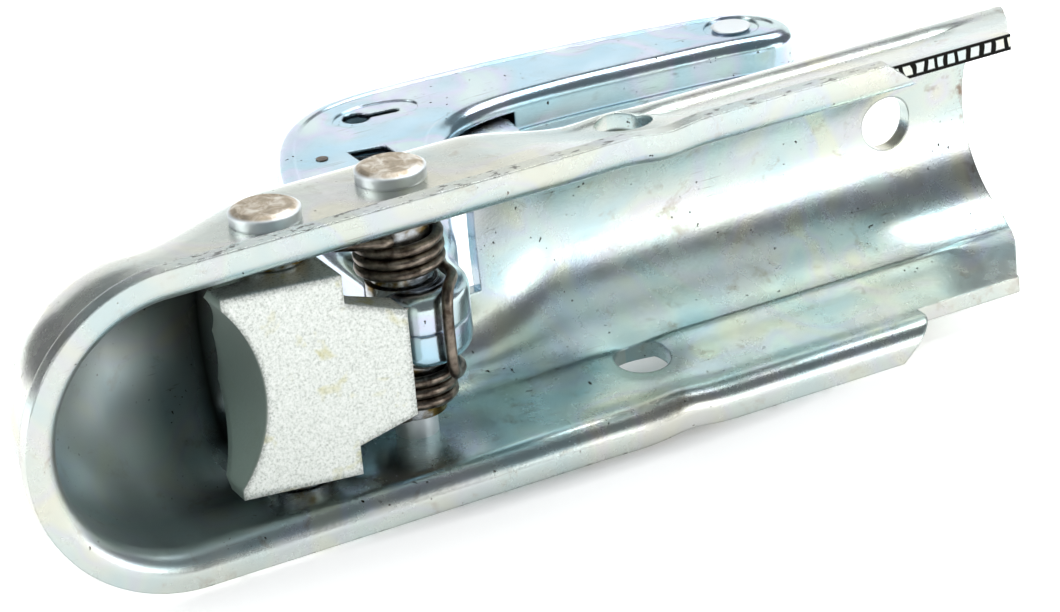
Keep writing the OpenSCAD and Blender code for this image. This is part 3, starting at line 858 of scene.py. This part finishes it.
# %% Rivet finish
rivet_steel, tree, where, soft = start_metal("worn_rivet_steel", 0.9)
blotch = add(tree, "TexNoise", {"Vector": where, "Scale": 1 / 3.2, "Detail": 4, "Roughness": 0.6,
                                "Distortion": 0.5})
worn = add(tree, "ValToRGB", [blotch], stops=((0.32, "#A09686"), (0.48, "#BDB09C"), (0.64, "#E6E2D8")))
out_mm = add(tree, "Math", [add(tree, "SeparateXYZ", [where]).outputs["X"]], operation="ABSOLUTE")
above_wall = add(tree, "Math", [out_mm, 32.0], operation="SUBTRACT")
top = add(tree, "ValToRGB", [above_wall], stops=((0.2, 0.0), (0.5, 1.0)))
base = add(tree, "Mix", [top, "#EDF3F5", worn], data_type="RGBA")
bump = add(tree, "Bump", {"Height": blotch, "Normal": soft, "Distance": 0.15 * MM, "Strength": 0.5})
end_metal(tree, base, 0.5, bump)
dress([nodes[name] for name in ("jaw_rivet", "lever_rivet", "grip_rivet")], rivet_steel)

# %% [markdown]
# Spring wire is drawn and oiled, so it is brown-grey with a soft gloss and a fine skin. The catch's
# pin is cut from the same wire.

# %% Spring wire
wire_steel, tree, where, soft = start_metal("oiled_spring_wire", 0.1)
tone = add(tree, "TexNoise", {"Vector": where, "Scale": 1 / 2.5, "Detail": 3, "Roughness": 0.6})
base = add(tree, "ValToRGB", [tone], stops=((0.35, "#4A4038"), (0.65, "#8E8478")))
skin = add(tree, "TexNoise", {"Vector": where, "Scale": 1 / 0.6, "Detail": 3})
bump = add(tree, "Bump", {"Height": skin, "Distance": 0.05 * MM, "Strength": 0.4})
end_metal(tree, base, 0.34, bump)
dress([jaw_wire, catch_wire, nodes["catch_pin"]], wire_steel)

# %% [markdown]
# The cam, the bush, the sleeves and the rings are turned or stamped steel under a film of grease.
# The film is brown where it is thick, in blots of about 5 mm, and the bare metal between is smooth.

# %% Turned steel under grease
turned, tree, where, soft = start_metal("greased_turned_steel", 0.25)
film = add(tree, "TexNoise", {"Vector": where, "Scale": 1 / 5, "Detail": 3, "Roughness": 0.6,
                              "Distortion": 0.5})
base = add(tree, "ValToRGB", [film], stops=((0.4, "#6E5A2E"), (0.55, "#A8ACAE"), (0.7, "#C9CED2")))
grain = add(tree, "TexNoise", {"Vector": where, "Scale": 1 / 0.5, "Detail": 3})
bump = add(tree, "Bump", {"Height": grain, "Normal": soft, "Distance": 0.05 * MM, "Strength": 0.3})
end_metal(tree, base, 0.24, bump)
dress([nodes[name] for name in ("lever_cam", "lever_bush", "spring_sleeve_left", "spring_sleeve_right",
                                "jaw_spacer_left", "jaw_spacer_right")], turned)

# %% [markdown]
# The coupling was photographed lying on a white table, which in the drawing's axes is an upright
# plane at its right flank. The table glows as a lit backdrop does, with painted light that grows
# stronger far from the coupling, and an oval where the coupling would shade it is left dark as a
# painted shadow. A level floor under the rim serves every other view. Both planes are clear from
# behind, so neither hides the coupling, and neither blocks the lamps.

# %% White table and pale floor
FLANK_X, REACH = -0.0347, 3.0
SHADE_Z, SHADE_HALF_Y, SHADE_HALF_Z = 0.022, 0.118, 0.03


def backdrop(name, corners, hex_code, near_glow=0.0, far_glow=0.0):
    """A square plane behind or under the coupling, clear from behind and blocking no lamp."""
    mesh = bpy.data.meshes.new(name)
    mesh.from_pydata(corners, [], [(0, 1, 2, 3)])
    obj = bpy.data.objects.new(name, mesh)
    bpy.context.collection.objects.link(obj)
    material = bpy.data.materials.new(name)
    material.use_nodes = True
    tree = material.node_tree
    tree.nodes.clear()
    spot = add(tree, "TexCoord").outputs["Object"]
    # painted shadow: the glow is held off in an oval round the coupling, and it grows stronger far from
    # it as painted light
    oval = add(tree, "Mapping", {"Vector": spot, "Location": (0, 0, -SHADE_Z / SHADE_HALF_Z),
                                 "Scale": (0, 1 / SHADE_HALF_Y, 1 / SHADE_HALF_Z)})
    outside_painted_shadow = add(tree, "MapRange", [add(tree, "VectorMath", [oval], operation="LENGTH"), 0.64, 0.94])
    far = add(tree, "MapRange", [add(tree, "VectorMath", [spot], operation="LENGTH"), 0.18, 0.58])
    glow = add(tree, "Math", [far, far_glow - near_glow, near_glow], operation="MULTIPLY_ADD")
    glow = add(tree, "Math", [outside_painted_shadow, glow], operation="MULTIPLY")
    lit = add(tree, "AddShader", [add(tree, "BsdfDiffuse", {"Color": hex_code}),
                                  add(tree, "Emission", {"Strength": glow})])
    from_behind = add(tree, "NewGeometry").outputs["Backfacing"]
    add(tree, "OutputMaterial", {"Surface": add(tree, "MixShader", [
        from_behind, lit, add(tree, "BsdfTransparent")])})
    mesh.materials.append(material)
    obj.visible_shadow = False
    obj.visible_diffuse = False
    return obj


square = [(-REACH, -REACH), (REACH, -REACH), (REACH, REACH), (-REACH, REACH)]
backdrop("white_table", [(FLANK_X, y, z) for y, z in square], "#F4F4F4", 0.6, 1.5)
floor = backdrop("pale_floor", [(x, y, 0) for x, y in square], "#EDEDED")
floor.visible_glossy = False
print("table at", FLANK_X, "m beside the centre line, floor at 0")

# %% [markdown]
# Bright metal shows what stands round it. So large soft lamps give it the long highlights, and the
# dim gaps between them give it the dark bands of the photograph. Each lamp is placed as seen from
# the camera, so many metres up, to the right and toward it, and turned to the coupling.

# %% Lamps
TARGET = Vector((0, 0.02, 0.03))
PANELS = (                            # place and size in metres, power in watts
    ("back_panel", (0.6, 0.0, -1.0), (2.2, 1.0), 7),
    ("top_panel", (0.85, 0.2, 0.0), (0.7, 0.3), 4),
    ("nose_panel", (0.2, -0.8, 0.35), (0.4, 0.5), 2.5),
    ("rear_panel", (0.02, 0.8, 0.4), (0.5, 0.34), 1.6),
    ("side_panel", (0.9, -0.19, 0.16), (0.8, 0.6), 1.2),
    ("far_panel", (-0.45, 0.05, -0.94), (1.2, 0.7), 7))
for name, (up, right, toward), size, power in PANELS:
    data = bpy.data.lights.new(name, "AREA")
    data.shape = "RECTANGLE"
    data.size, data.size_y = size
    data.energy = power
    lamp = bpy.data.objects.new(name, data)
    bpy.context.collection.objects.link(lamp)
    lamp.location = TARGET + image_up * up + image_right * right + to_camera * toward
    out = (lamp.location - TARGET).normalized()
    wide = (image_right + to_camera * 0.3).normalized()
    wide = (wide - out * wide.dot(out)).normalized()
    lamp.rotation_mode = "QUATERNION"
    lamp.rotation_quaternion = Matrix((wide, out.cross(wide), out)).transposed().to_quaternion()
    lamp.visible_camera = False
    print(name, "at", [round(v, 2) for v in lamp.location])

# %% [markdown]
# The room itself is dim and grey. It gets brighter behind the table, which only the other views see,
# and what the camera sees directly is nearly white, so that the table's edge hardly shows.

# %% Room
world = bpy.data.worlds.new("studio_room")
world.use_nodes = True
tree = world.node_tree
tree.nodes.clear()
direction = add(tree, "SeparateXYZ", [add(tree, "TexCoord").outputs["Generated"]])
behind_table = add(tree, "Math", [direction.outputs["X"], -2.0], operation="MULTIPLY", use_clamp=True)
room_light = add(tree, "Math", [behind_table, 0.5, 0.3], operation="MULTIPLY_ADD")
seen_directly = add(tree, "LightPath").outputs["Is Camera Ray"]
seen_light = add(tree, "Math", [seen_directly, 1.35], operation="MULTIPLY")
brightness = add(tree, "Math", [room_light, seen_light], operation="MAXIMUM")
sky = add(tree, "Background", {"Color": "#C8CCD0", "Strength": brightness})
add(tree, "OutputWorld", {"Surface": sky})
bpy.context.scene.world = world
bpy.context.scene.view_settings.view_transform = "Standard"
bpy.context.scene.view_settings.look = "None"
print("world:", world.name, "with", len(tree.nodes), "nodes")
